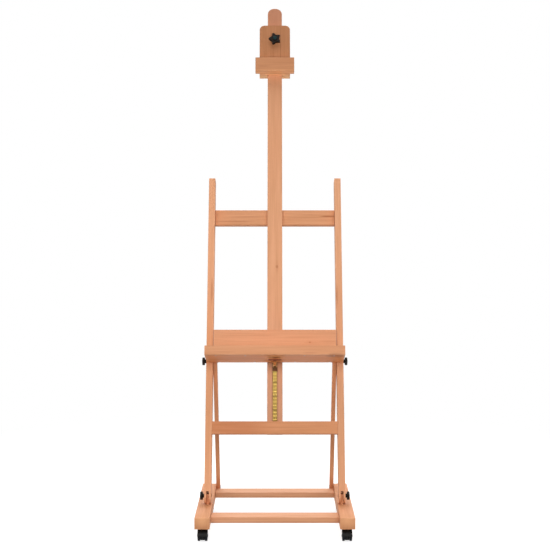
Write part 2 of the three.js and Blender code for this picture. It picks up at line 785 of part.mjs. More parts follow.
// A hand knob about +Z: a lobed grip on a neck, with a blind bore for the screw. The first lobe
// points along +X.
function knobGeometry(knob) {
  const outline = new THREE.Shape();
  const steps = knob.lobes * 8;
  for (let step = 0; step < steps; step += 1) {
    const angle = (step / steps) * Math.PI * 2;
    const wave = (1 - Math.cos(knob.lobes * angle)) / 2;
    const radius = knob.radius - knob.lobeDepth * wave ** knob.point;
    const point = [radius * Math.cos(angle), radius * Math.sin(angle)];
    if (step === 0) outline.moveTo(...point);
    else outline.lineTo(...point);
  }
  outline.closePath();
  const gripTop = knob.neck + knob.grip;
  const grip = acrossZ(outline, knob.neck, gripTop, knob.round);
  const neck = rodZ(knob.neckRadius, 0, knob.neck + knob.grip / 2, 0, 0);
  const boss = turnedZ([
    [0, gripTop - 3],
    [knob.bossRadius, gripTop - 3],
    [knob.bossRadius, gripTop + knob.bossHeight - 1],
    [knob.bossRadius - 1, gripTop + knob.bossHeight],
    [0, gripTop + knob.bossHeight],
  ], boltSides);
  const bore = rodZ(boltRadius + boltGap, -overcut, threadReach + glueGap, 0, 0);
  return cut(join(grip, neck, boss), bore);
}

const sideKnob = {
  radius: sideKnobRadius,
  lobes: sideKnobLobes,
  lobeDepth: sideKnobLobeDepth,
  point: 1,
  round: sideKnobRound,
  grip: sideKnobGrip,
  neck: sideKnobNeck,
  neckRadius: sideKnobNeckRadius,
  bossRadius: sideKnobRadius * 0.55,
  bossHeight: 0.6,
};
const starKnob = {
  radius: starKnobRadius,
  lobes: starKnobLobes,
  lobeDepth: starKnobLobeDepth,
  point: starKnobPoint,
  round: starKnobRound,
  grip: starKnobGrip,
  neck: starKnobNeck,
  neckRadius: starKnobNeckRadius,
  bossRadius: starKnobBossRadius,
  bossHeight: starKnobBossHeight,
};

function sideKnobGeometry(side, y, z) {
  const knob = knobGeometry(sideKnob).rotateY((side * Math.PI) / 2);
  return knob.translate(side * (uprightOuter + glueGap), y, z);
}

// ---- Rear struts -------------------------------------------------------------------------------------------
// The strut's own axes: origin on its lower bolt, +Z towards its upper bolt. It leans outwards a
// little, from the foot's inner face to the upright's.
const strutDrift = (uprightInner - footInner) / strutLength;

function strutGeometry(side) {
  const radius = strutWidth / 2;
  const outer = footInner - glueGap;
  const board = acrossX(
    stadium(0, 0, strutLength, radius),
    ...span(side, outer - strutThickness, outer),
    arris,
    roundSteps,
  );
  const holes = [0, strutLength].map((up) =>
    rodX(boltRadius + boltGap, ...span(side, outer - strutThickness - overcut, outer + overcut), 0, up));
  const drift = new THREE.Matrix4();
  drift.elements[8] = side * strutDrift;
  return cut(board, ...holes).applyMatrix4(drift);
}

// ---- Tray ------------------------------------------------------------------------------------------------------
function addTray(frame) {
  const tray = new THREE.Group();
  tray.position.z = trayUp;
  frame.add(tray);
  const half = trayWidth / 2;
  const back = -trayBack;
  const lipBack = -trayFront + lipThickness;
  const floor = trayBottomThickness + glueGap;
  place(tray, 'tray_bottom', acrossX(
    rectangle(lipBack + glueGap, 0, back, trayBottomThickness), -half, half), beech);
  place(tray, 'tray_front_lip', acrossX(
    rectangle(-trayFront, 0, lipBack, lipHeight), -half, half), beech);
  place(tray, 'canvas_ledge', acrossX(
    rectangle(back - ledgeThickness, floor, back, ledgeTop), -ledgeWidth / 2, ledgeWidth / 2), beech);
  for (const [name, side] of sides) {
    place(tray, `${name}_tray_end`, acrossX(
      rectangle(lipBack + glueGap, floor, back, floor + trayEndHeight),
      ...span(side, half - trayEndThickness, half)), beech);
    const cheekInner = mastWidth / 2 + slideGap;
    place(tray, `${name}_slider_cheek`, acrossX(
      rectangle(back + glueGap, sliderFoot, mastFace + slideGap, sliderFoot + sliderHeight),
      ...span(side, cheekInner, cheekInner + cheekThickness)), beech);
  }
  const sliderHalf = mastWidth / 2 + slideGap + cheekThickness;
  const sliderBack = mastFace + slideGap + glueGap;
  place(tray, 'slider_back_plate', acrossX(
    rectangle(sliderBack, sliderFoot, sliderBack + sliderBackThickness, sliderFoot + sliderHeight),
    -sliderHalf, sliderHalf), beech);
  place(tray, 'pawl_bracket', pawlBracketGeometry(), bronzedSteel);
  place(tray, 'pawl_pin', pawlPinGeometry(), zincSteel);
  place(tray, 'ratchet_pawl', pawlGeometry(), bronzedSteel);
}

// ---- Canvas clamp ------------------------------------------------------------------------------------------------
function addClamp(frame) {
  const clamp = new THREE.Group();
  clamp.position.z = clampUp;
  frame.add(clamp);
  const half = clampWidth / 2;
  const plateBack = -mastFace - slideGap;
  const plateFront = plateBack - clampPlateThickness;
  const outline = new THREE.Shape();
  outline.moveTo(-half, 0);
  outline.lineTo(half, 0);
  outline.absarc(half - clampPlateRound, clampPlateHeight - clampPlateRound, clampPlateRound, 0, Math.PI / 2);
  outline.absarc(-half + clampPlateRound, clampPlateHeight - clampPlateRound, clampPlateRound,
    Math.PI / 2, Math.PI);
  outline.closePath();
  const padRecess = padThickness + screwTravel + slideGap;
  const insertBack = plateFront + clampInsertLength;
  const plate = cut(
    acrossY(outline, plateFront, plateBack, arris, roundSteps),
    rodY(padRadius + slideGap, plateBack - padRecess, plateBack + overcut, 0, clampScrewUp),
    rodY(boltRadius + boltGap, plateFront - overcut, plateBack, 0, clampScrewUp),
    rodY(clampInsertRadius + glueGap, plateFront - overcut, insertBack + glueGap, 0, clampScrewUp),
  );
  place(clamp, 'clamp_front_plate', plate, beech);
  const insert = cut(
    rodY(clampInsertRadius, plateFront, insertBack, 0, clampScrewUp),
    rodY(boltRadius + boltGap, plateFront - overcut, insertBack + overcut, 0, clampScrewUp),
  );
  place(clamp, 'clamp_insert', insert, brass);
  const blockBack = plateFront - glueGap;
  place(clamp, 'clamp_head_block', acrossX(
    rectangle(blockBack - headBlockThickness, 0, blockBack, headBlockHeight),
    -headBlockWidth / 2, headBlockWidth / 2), beech);
  const cheekInner = mastWidth / 2 + slideGap;
  const cheekFront = plateBack + glueGap;
  const cheekBack = mastFace + slideGap;
  for (const [name, side] of sides) {
    place(clamp, `${name}_clamp_cheek`, acrossZ(
      rectangle(...spanBox(side, cheekInner, half, cheekFront, cheekBack)), 0, clampSleeveHeight), beech);
  }
  const backPlate = cheekBack + glueGap;
  place(clamp, 'clamp_back_plate', acrossZ(
    rectangle(-half, backPlate, half, backPlate + clampBackThickness), 0, clampSleeveHeight), beech);
  const padBack = -mastFace - glueGap;
  place(clamp, 'clamp_pressure_pad',
    rodY(padRadius, padBack - padThickness, padBack, 0, clampScrewUp), brass);
  const neckEnd = plateFront - slideGap;
  const screwFront = neckEnd - threadReach;
  place(clamp, 'clamp_screw',
    rodY(boltRadius, screwFront, padBack - padThickness - glueGap, 0, clampScrewUp), zincSteel);
  const knob = knobGeometry(starKnob).rotateZ(Math.PI).rotateX(Math.PI / 2);
  place(clamp, 'clamp_knob', knob.translate(0, neckEnd, clampScrewUp), blackPlastic);
}

// Corners of a rectangle across Z, on the left or right side.
function spanBox(side, x0, x1, y0, y1) {
  const [low, high] = span(side, x0, x1);
  return [low, y0, high, y1];
}

// ---- Assembly --------------------------------------------------------------------------------------------------------
const easel = new THREE.Group();
easel.name = 'studio_easel';
const base = new THREE.Group();
base.position.y = -totalDepth / 2;
easel.add(base);
const frame = new THREE.Group();
frame.position.set(0, pivotSetback, pivotUp);
frame.rotation.x = -lean;
base.add(frame);

place(base, 'front_base_rail', baseRailGeometry(frontRail), beech);
place(base, 'rear_base_rail', baseRailGeometry(rearRail), beech);
for (const [name, side] of sides) {
  place(base, `${name}_foot`, footGeometry(side), beech);
  place(base, `${name}_pivot_tongue`, tongueGeometry(side), beech);
  for (const [end, setback, away] of casterPlaces) {
    addCaster(base, `${end}_${name}`, side * footMiddle, setback, away);
  }

  place(frame, `${name}_upright`, uprightGeometry(side), beech);
  place(frame, `${name}_pivot_bolt`,
    boltGeometry(side, uprightInner, uprightOuter + threadReach, 0, 0), bronzedSteel);
  place(frame, `${name}_pivot_knob`, sideKnobGeometry(side, 0, 0), blackPlastic);
  place(frame, `${name}_strut_knob`, sideKnobGeometry(side, 0, strutBoltUp), blackPlastic);

  const strut = new THREE.Group();
  strut.position.set(0, strutFoot.x, strutFoot.y);
  strut.rotation.x = strutLean;
  base.add(strut);
  place(strut, `${name}_strut`, strutGeometry(side), beech);
  const strutInner = footInner - glueGap - strutThickness;
  place(strut, `${name}_strut_foot_bolt`,
    boltGeometry(side, strutInner, footInner + footBoltReach, 0, 0), zincSteel);
  place(strut, `${name}_strut_bolt`,
    boltGeometry(side, strutInner + strutDrift * strutLength, uprightOuter + threadReach, 0, strutLength),
    bronzedSteel);
}
place(frame, 'upper_cross_rail', crossRailGeometry(upperRail), beech);
place(frame, 'lower_cross_rail', crossRailGeometry(lowerRail), beech);
place(frame, 'mast', mastGeometry(), beech);
place(frame, 'ratchet_rack', rackGeometry(), brass);
addTray(frame);
addClamp(frame);

export default easel;
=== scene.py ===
import json
import math
import random
import bpy
import bmesh
from mathutils import Matrix, Vector


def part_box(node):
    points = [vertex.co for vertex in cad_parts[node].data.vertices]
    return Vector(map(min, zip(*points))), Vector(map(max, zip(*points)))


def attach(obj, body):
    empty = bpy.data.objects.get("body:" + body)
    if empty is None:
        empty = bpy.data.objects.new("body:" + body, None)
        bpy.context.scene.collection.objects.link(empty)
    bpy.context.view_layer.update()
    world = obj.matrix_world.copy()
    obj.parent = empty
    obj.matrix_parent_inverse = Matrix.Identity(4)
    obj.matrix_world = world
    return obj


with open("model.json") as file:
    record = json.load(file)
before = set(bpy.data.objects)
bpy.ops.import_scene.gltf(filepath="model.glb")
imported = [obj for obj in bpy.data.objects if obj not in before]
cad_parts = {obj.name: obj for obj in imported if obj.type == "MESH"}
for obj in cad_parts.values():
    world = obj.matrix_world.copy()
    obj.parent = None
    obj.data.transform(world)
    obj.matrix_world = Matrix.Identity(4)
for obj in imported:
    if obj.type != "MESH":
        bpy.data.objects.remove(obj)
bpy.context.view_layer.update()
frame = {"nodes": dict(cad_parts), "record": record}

# A studio easel of oiled, steamed beech with a brass ratchet rack, a bronzed steel pawl, black
# moulded hand knobs and charcoal nylon casters. Metres; +Z is up and the front faces -Y.

MM = 0.001
nodes = frame["nodes"]
joints = {joint["name"]: joint for joint in frame["record"]["behaviour"]["joints"]}


# ---- Directions and places -----------------------------------------------------------------------
def joint_place(name):
    return Vector(joints[name]["pos_m"])


def joint_axis(name):
    return Vector(joints[name]["axis"])


ACROSS = Vector((1, 0, 0))
BACK = Vector((0, 1, 0))
UP = Vector((0, 0, 1))
MAST_UP = joint_axis("tray_slide")
MAST_FRONT = joint_axis("pad_travel")
TILT_PIVOT = joint_place("frame_tilt")


def on_frame(x, up, front):
    """A place on the leaning frame: millimetres from the middle, up from the tilt pivots, and in
    front of the middle of the mast's thickness."""
    return TILT_PIVOT + (ACROSS * x + MAST_UP * up + MAST_FRONT * front) * MM


SIDES = (("left", -1), ("right", 1))

# Heights on the leaning frame, in millimetres up from the tilt pivots.
LOWER_RAIL_MIDDLE = 261
RACK_SEAT = 491.6  # the tooth that the pawl stands on
BRACKET_UNDERSIDE = 520.2
TRAY_UNDERSIDE = 522.5
UPPER_RAIL_MIDDLE = 1143
UNDER_CLAMP = 1774  # just below the clamp's boards
CLAMP_UNDERSIDE = 1777.8
CLAMP_KNOB_MIDDLE = 1936.8

# Faces and lines on the leaning frame, in millimetres in front of the middle of the mast.
UPPER_RAIL_BACK = -28.3
SLIDER_BACK = -21.8
CLAMP_BACK = -20.3
UPPER_RAIL_FACE = -11.3
MAST_BACK = -11
MAST_FACE = 11
CLAMP_FACE = 27.5
LOWER_RAIL_FACE = 28.3
UPRIGHT_FACE = 29
LEDGE_SCREW_LINE = 38.4
BRACKET_SCREW_LINE = 39
LEDGE_FACE = 47.7
CLAMP_KNOB_FACE = 50.5
HEAD_BLOCK_FACE = 60.2
LIP_SCREW_LINE = 168
LIP_FACE = 190.1

# Millimetres out from the middle of the easel, and from the middle of a pair of wheels.
BOLT_HEAD_OUT = 247
FORK_MIDDLE_OUT = 261.2
SIDE_KNOB_FACE_OUT = 291.6
WHEEL_FACE_OUT = 19.7

TOOTH_PITCH = 14.0


# ---- Colours and nodes ---------------------------------------------------------------------------
def colour(hex_value):
    """A linear colour with alpha from an sRGB hex value."""
    parts = [int(hex_value[i:i + 2], 16) / 255 for i in (1, 3, 5)]
    linear = [c / 12.92 if c <= 0.04045 else ((c + 0.055) / 1.055) ** 2.4 for c in parts]
    return (*linear, 1.0)


def shaded(hex_value, depth, warmth=0.0):
    """The same colour, deeper or paler by a factor, and pinker (below 0) or more orange (above 0)."""
    red, green, blue = colour(hex_value)[:3]
    return (red * depth, green * depth * (1 - 0.16 * warmth), blue * depth * (1 - 0.38 * warmth), 1.0)


def add_node(owner, kind, links=None, **settings):
    """One node of a material or a world, with its settings, and its inputs linked or set by name or
    number."""
    node = owner.node_tree.nodes.new("ShaderNode" + kind)
    for name, value in settings.items():
        setattr(node, name, value)
    for key, value in (links or {}).items():
        socket = node.inputs[key]
        if isinstance(value, bpy.types.NodeSocket):
            owner.node_tree.links.new(value, socket)
        else:
            socket.default_value = value
    return node


def new_material(name):
    """An empty material and its Principled shader, joined to the output."""
    material = bpy.data.materials.new(name)
    material.use_nodes = True
    material.node_tree.nodes.clear()
    shader = add_node(material, "BsdfPrincipled")
    add_node(material, "OutputMaterial", {"Surface": shader.outputs["BSDF"]})
    return material, shader


def feed(material, shader, **inputs):
    """Links or sets the shader's inputs; an underscore stands for a space."""
    for name, value in inputs.items():
        socket = shader.inputs[name.replace("_", " ")]
        if isinstance(value, bpy.types.NodeSocket):
            material.node_tree.links.new(value, socket)
        else:
            socket.default_value = value


def worn_edges(material, width_mm, strength=1.0):
    """1 along the arrises, where hands and cloths have rubbed, and 0 on the faces."""
    rounded = add_node(material, "Bevel", {"Radius": width_mm * MM}, samples=6)
    flat = add_node(material, "NewGeometry")
    match = add_node(
        material, "VectorMath",
        {0: rounded.outputs["Normal"], 1: flat.outputs["Normal"]}, operation="DOT_PRODUCT")
    return add_node(
        material, "MapRange",
        {"Value": match.outputs["Value"], "From Min": 0.985, "From Max": 0.86, "To Max": strength},
    ).outputs["Result"]


# ---- Steamed beech, planed, sanded and oiled -----------------------------------------------------
# Steaming turns beech salmon-orange. Its figure is quiet: broad soft bands along the board, finer
# streaks a few millimetres wide, and short dark ray flecks. The growth rings run through a board's
# thickness, so they line its end grain, which drinks the oil and is a little darker.
def steamed_beech(name, along, seed, depth=1.0, warmth=0.0, marks=()):
    material, shader = new_material("steamed_beech_" + name)
    picks = random.Random(seed)
    along = along.normalized()
    across = ACROSS if abs(along.dot(ACROSS)) < 0.9 else MAST_UP
    rings = along.cross(across).normalized()
    to_board = Matrix((along, rings, along.cross(rings).normalized()))
    place = add_node(material, "TexCoord")
    board = add_node(
        material, "Mapping",
        {"Vector": place.outputs["Object"], "Rotation": to_board.to_euler("XYZ"),
         "Scale": (1 / MM, 1 / MM, 1 / MM),
         "Location": [picks.uniform(-4000, 4000) for _ in range(3)]})

    def figure(length_mm, width_mm, detail, bend=0.0):
        stretched = add_node(
            material, "Mapping",
            {"Vector": board.outputs["Vector"],
             "Scale": (1 / length_mm, 0.2 / width_mm, 1 / width_mm)})
        return add_node(
            material, "TexNoise",
            {"Vector": stretched.outputs["Vector"], "Scale": 1.0, "Detail": detail,
             "Roughness": 0.55, "Distortion": bend}).outputs["Fac"]

    bands = figure(600, 22, 2.0, 0.3)
    fine = figure(170, 3.2, 3.0, 0.1)
    drift = figure(500, 160, 1.0)
    flecks = figure(3.2, 0.5, 1.0)
    banded = add_node(
        material, "MapRange", {"Value": bands, "From Min": 0.36, "From Max": 0.68})
    tone = add_node(
        material, "Mix",
        {"Factor": banded.outputs["Result"], "A": shaded("#e1a176", depth, warmth),
         "B": shaded("#d6966a", depth, warmth)},
        data_type="RGBA")
    streaked = add_node(
        material, "MapRange",
        {"Value": fine, "From Min": 0.42, "From Max": 0.7, "To Max": 0.38})
    tone = add_node(
        material, "Mix",
        {"Factor": streaked.outputs["Result"], "A": tone.outputs["Result"],
         "B": shaded("#bd7a4e", depth, warmth)},
        data_type="RGBA")
    drifted = add_node(
        material, "MapRange",
        {"Value": drift, "From Min": 0.3, "From Max": 0.7, "To Max": 0.3})
    tone = add_node(
        material, "Mix",
        {"Factor": drifted.outputs["Result"], "A": tone.outputs["Result"],
         "B": shaded("#dd9468", depth, warmth)},
        data_type="RGBA")
    flecked = add_node(
        material, "MapRange",
        {"Value": flecks, "From Min": 0.66, "From Max": 0.74, "To Max": 0.35})
    tone = add_node(
        material, "Mix",
        {"Factor": flecked.outputs["Result"], "A": tone.outputs["Result"], "B": colour("#99603c")},
        data_type="RGBA")
    facing = add_node(
        material, "VectorMath",
        {0: place.outputs["Normal"], 1: along}, operation="DOT_PRODUCT")
    end = add_node(material, "Math", {0: facing.outputs["Value"]}, operation="ABSOLUTE")
    end_grain = add_node(
        material, "MapRange",
        {"Value": end.outputs["Value"], "From Min": 0.75, "From Max": 0.95, "To Max": 0.22})
    tone = add_node(
        material, "Mix",
        {"Factor": end_grain.outputs["Result"], "A": tone.outputs["Result"], "B": colour("#b57a50")},
        data_type="RGBA")
    for mark in marks:
        tone = grain_or_painted_light_mark(material, place, to_board, tone, *mark)
    rubbed = worn_edges(material, 2.0, 0.25)
    tone = add_node(
        material, "Mix",
        {"Factor": rubbed, "A": tone.outputs["Result"], "B": shaded("#ecb98e", depth)},
        data_type="RGBA")
    sheen = add_node(
        material, "MapRange",
        {"Value": fine, "From Min": 0.3, "From Max": 0.7, "To Min": 0.5, "To Max": 0.64})
    relief = add_node(
        material, "Bump",
        {"Height": fine, "Strength": 0.12, "Distance": 0.4 * MM})
    pores = add_node(
        material, "Bump",
        {"Height": flecks, "Strength": 0.1, "Distance": 0.2 * MM, "Normal": relief.outputs["Normal"]})
    feed(material, shader, Base_Color=tone.outputs["Result"], Roughness=sheen.outputs["Result"],
         Normal=pores.outputs["Normal"], IOR=1.46, Specular_IOR_Level=0.3)
    return material


# A soft oval mark that runs with the grain: a pin knot or a streak in the wood, or a patch of
# painted light or painted shade.
def grain_or_painted_light_mark(
        material, place, to_board, tone,
        centre, half_length_mm, half_width_mm, strength, stain_or_painted_light):
    spot = add_node(
        material, "Mapping",
        {"Vector": place.outputs["Object"], "Location": centre,
         "Rotation": to_board.transposed().to_euler("XYZ"),
         "Scale": (half_length_mm * MM, half_width_mm * MM, half_width_mm * MM)},
        vector_type="TEXTURE")
    soft = add_node(
        material, "TexGradient", {"Vector": spot.outputs["Vector"]}, gradient_type="SPHERICAL")
    amount = add_node(
        material, "MapRange",
        {"Value": soft.outputs["Fac"], "From Max": 0.6, "To Max": strength})
    return add_node(
        material, "Mix",
        {"Factor": amount.outputs["Result"], "A": tone.outputs["Result"], "B": colour(stain_or_painted_light)},
        data_type="RGBA")


# ---- Metals and plastics -------------------------------------------------------------------------
# Brass, dulled by handling to olive-gold, in clouds some 18 mm across. Thin dark lines run across
# the strip at the roots of the rack's teeth, drawn stronger at every fourth root. A painted shadow
# makes the strip darkest just below the tray, under the pawl's nose.
def tarnished_brass():
    material, shader = new_material("tarnished_brass")
    place = add_node(material, "TexCoord")
    cloud = add_node(
        material, "TexNoise",
        {"Vector": place.outputs["Object"], "Scale": 1 / (18.18 * MM), "Detail": 4.0,
         "Roughness": 0.6})
    tone = add_node(
        material, "Mix",
        {"Factor": cloud.outputs["Fac"], "A": colour("#a68a4a"), "B": colour("#7c6534")},
        data_type="RGBA")
    from_seat = add_node(
        material, "VectorMath", {0: place.outputs["Object"], 1: on_frame(0, RACK_SEAT, 0)},
        operation="SUBTRACT")
    up_strip = add_node(
        material, "VectorMath", {0: from_seat.outputs["Vector"], 1: MAST_UP / (TOOTH_PITCH * MM)},
        operation="DOT_PRODUCT")
    in_tooth = add_node(material, "Math", {0: up_strip.outputs["Value"]}, operation="FRACT")
    root = add_node(
        material, "MapRange",
        {"Value": in_tooth.outputs["Value"], "From Min": 0.5, "From Max": 0.78})
    fourths = add_node(
        material, "Math", {0: up_strip.outputs["Value"], 1: 0.25, 2: -0.25}, operation="MULTIPLY_ADD")
    in_fourth = add_node(material, "Math", {0: fourths.outputs["Value"]}, operation="FRACT")
    weight = add_node(
        material, "MapRange",
        {"Value": in_fourth.outputs["Value"], "From Min": 0.9, "From Max": 0.93, "To Min": 0.16})
    root_lines = add_node(
        material, "Math", {0: root.outputs["Result"], 1: weight.outputs["Result"]},
        operation="MULTIPLY")
    tone = add_node(
        material, "Mix",
        {"Factor": root_lines.outputs["Value"], "A": tone.outputs["Result"], "B": colour("#33260f")},
        data_type="RGBA")
    # Painted shadow on the strip just below the tray, under the pawl's nose.
    tone = grain_or_painted_light_mark(
        material, place, Matrix.Identity(3), tone, on_frame(0, 509, 4), 9, 8, 0.8, "#4a2c0c")
    rubbed = worn_edges(material, 0.8, 0.5)
    tone = add_node(
        material, "Mix",
        {"Factor": rubbed, "A": tone.outputs["Result"], "B": colour("#bb9d58")},
        data_type="RGBA")
    rough = add_node(
        material, "MapRange",
        {"Value": cloud.outputs["Fac"], "To Min": 0.34, "To Max": 0.55})
    feed(material, shader, Base_Color=tone.outputs["Result"], Metallic=1.0,
         Roughness=rough.outputs["Result"])
    return material


# Pressed steel with a chemical bronze finish: a clouded brown, rubbed to warm metal along its edges.
# Marks make single places on it paler or deeper; on the worn copy most of them are painted light
# and shade.
def bronzed_steel(name, light, dark, metallic, marks=()):
    material, shader = new_material(name)
    place = add_node(material, "TexCoord")
    cloud = add_node(
        material, "TexNoise",
        {"Vector": place.outputs["Object"], "Scale": 1 / (11.11 * MM), "Detail": 5.0,
         "Roughness": 0.6})
    tone = add_node(
        material, "Mix",
        {"Factor": cloud.outputs["Fac"], "A": colour(light), "B": colour(dark)},
        data_type="RGBA")
    rubbed = worn_edges(material, 0.8, 0.6)
    tone = add_node(
        material, "Mix",
        {"Factor": rubbed, "A": tone.outputs["Result"], "B": colour("#94642f")},
        data_type="RGBA")
    for mark in marks:
        tone = grain_or_painted_light_mark(material, place, Matrix.Identity(3), tone, *mark)
    grain = add_node(
        material, "Bump",
        {"Height": cloud.outputs["Fac"], "Strength": 0.15, "Distance": 0.3 * MM})
    feed(material, shader, Base_Color=tone.outputs["Result"], Metallic=metallic, Roughness=0.5,
         Normal=grain.outputs["Normal"], Specular_IOR_Level=0.2)
    return material


# Bright zinc plate on steel: pale grey with a faint uneven spangle, about a millimetre wide.
def zinc_plate():
    material, shader = new_material("zinc_plate")
    place = add_node(material, "TexCoord")
    spangle = add_node(
        material, "TexVoronoi",
        {"Vector": place.outputs["Object"], "Scale": 1 / (1.111 * MM)})
    tone = add_node(
        material, "Mix",
        {"Factor": spangle.outputs["Distance"], "A": colour("#c4c5c2"), "B": colour("#a3a5a3")},
        data_type="RGBA")
    rough = add_node(
        material, "MapRange",
        {"Value": spangle.outputs["Distance"], "To Min": 0.24, "To Max": 0.42})
    feed(material, shader, Base_Color=tone.outputs["Result"], Metallic=1.0,
         Roughness=rough.outputs["Result"])
    return material


# Moulded nylon or phenolic with a spark-eroded skin: dark, satin, greyer where hands rub it.
def moulded_plastic(name, body, rubbed_tone, roughness, grain_mm):
    material, shader = new_material(name)
    place = add_node(material, "TexCoord")
    skin = add_node(
        material, "TexNoise",
        {"Vector": place.outputs["Object"], "Scale": 1 / (grain_mm * MM), "Detail": 2.0})
    dust = add_node(
        material, "TexNoise",
        {"Vector": place.outputs["Object"], "Scale": 1 / (25 * MM), "Detail": 3.0})
    tone = add_node(
        material, "Mix",
        {"Factor": worn_edges(material, 1.0, 0.5), "A": colour(body), "B": colour(rubbed_tone)},
        data_type="RGBA")
    rough = add_node(
        material, "MapRange",
        {"Value": dust.outputs["Fac"], "To Min": roughness - 0.08, "To Max": roughness + 0.1})
    grain = add_node(
        material, "Bump",
        {"Height": skin.outputs["Fac"], "Strength": 0.12, "Distance": 0.2 * MM})
    feed(material, shader, Base_Color=tone.outputs["Result"], Roughness=rough.outputs["Result"],
         Normal=grain.outputs["Normal"], IOR=1.5, Specular_IOR_Level=0.14)
    return material


# ---- Finishes for the boards ---------------------------------------------------------------------
def finish_board(name, along, seed):
    node = nodes[name]
    node.data.materials.clear()
    depth, warmth = BOARD_TONE_AND_SHADE.get(name, (1.0, 0.0))
    marks = BOARD_MARKS.get(name, ())
    node.data.materials.append(steamed_beech(name, along, seed, depth, warmth, marks))
    soften_edges(node)


def soften_edges(node):
    """Smooth shading over the planed arrises, flat on the faces."""
    smooth_by_angle(node, 50)
    level = node.modifiers.new("flat_faces", "WEIGHTED_NORMAL")
    level.keep_sharp = True
    level.weight = 100


def smooth_by_angle(obj, degrees):
    weld = obj.modifiers.new("one_skin", "WELD")
    weld.merge_threshold = 1e-6
    split = obj.modifiers.new("sharp_over_angle", "EDGE_SPLIT")
    split.split_angle = math.radians(degrees)
    split.use_edge_sharp = False


# How deep each board's colour is beside the rest, and how orange. Partly the boards' own differing
# tones, partly painted shade where a board sits in shade: the rear base rail, the struts and the
# tray's underside.
BOARD_TONE_AND_SHADE = {
    "clamp_front_plate": (0.7, 0.5),
    "clamp_head_block": (0.81, 0.25),
    "mast": (1.0, -0.35),
    "left_upright": (1.07, -0.4),
    "right_upright": (1.0, -0.35),
    "canvas_ledge": (0.9, -0.2),
    "tray_bottom": (1.05, 1.1),
    "tray_front_lip": (0.86, 0.1),
    "lower_cross_rail": (0.9, 0.5),
    "upper_cross_rail": (0.94, 0.0),
    "front_base_rail": (0.97, -0.4),
    "rear_base_rail": (0.94, -0.7),
    "left_foot": (0.885, 0.05),
    "right_foot": (0.9, 0.05),
    "left_strut": (0.93, 0.0),
    "right_strut": (0.92, 0.0),
}


def rail_edge(name):
    """The middle of a base rail's lower front edge."""
    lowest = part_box(name)[0]
    return Vector((0, lowest[1], lowest[2] + 0.5 * MM))


def foot_marks(name):
    """The shading of a foot's front end: deeper on top and low down, paler below the arris."""
    low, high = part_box(name)
    middle = (low[0] + high[0]) / 2
    before_end = low[1] - 6 * MM
    return [
        (Vector((middle, low[1] + 14 * MM, high[2] + 6 * MM)), 60, 44, 0.35, "#c4834c"),
        (Vector((middle, before_end, low[2])), 12, 34, 0.3, "#a5683f"),
        (Vector((middle, before_end, high[2])), 12, 46, 0.65, "#f6b888"),
    ]
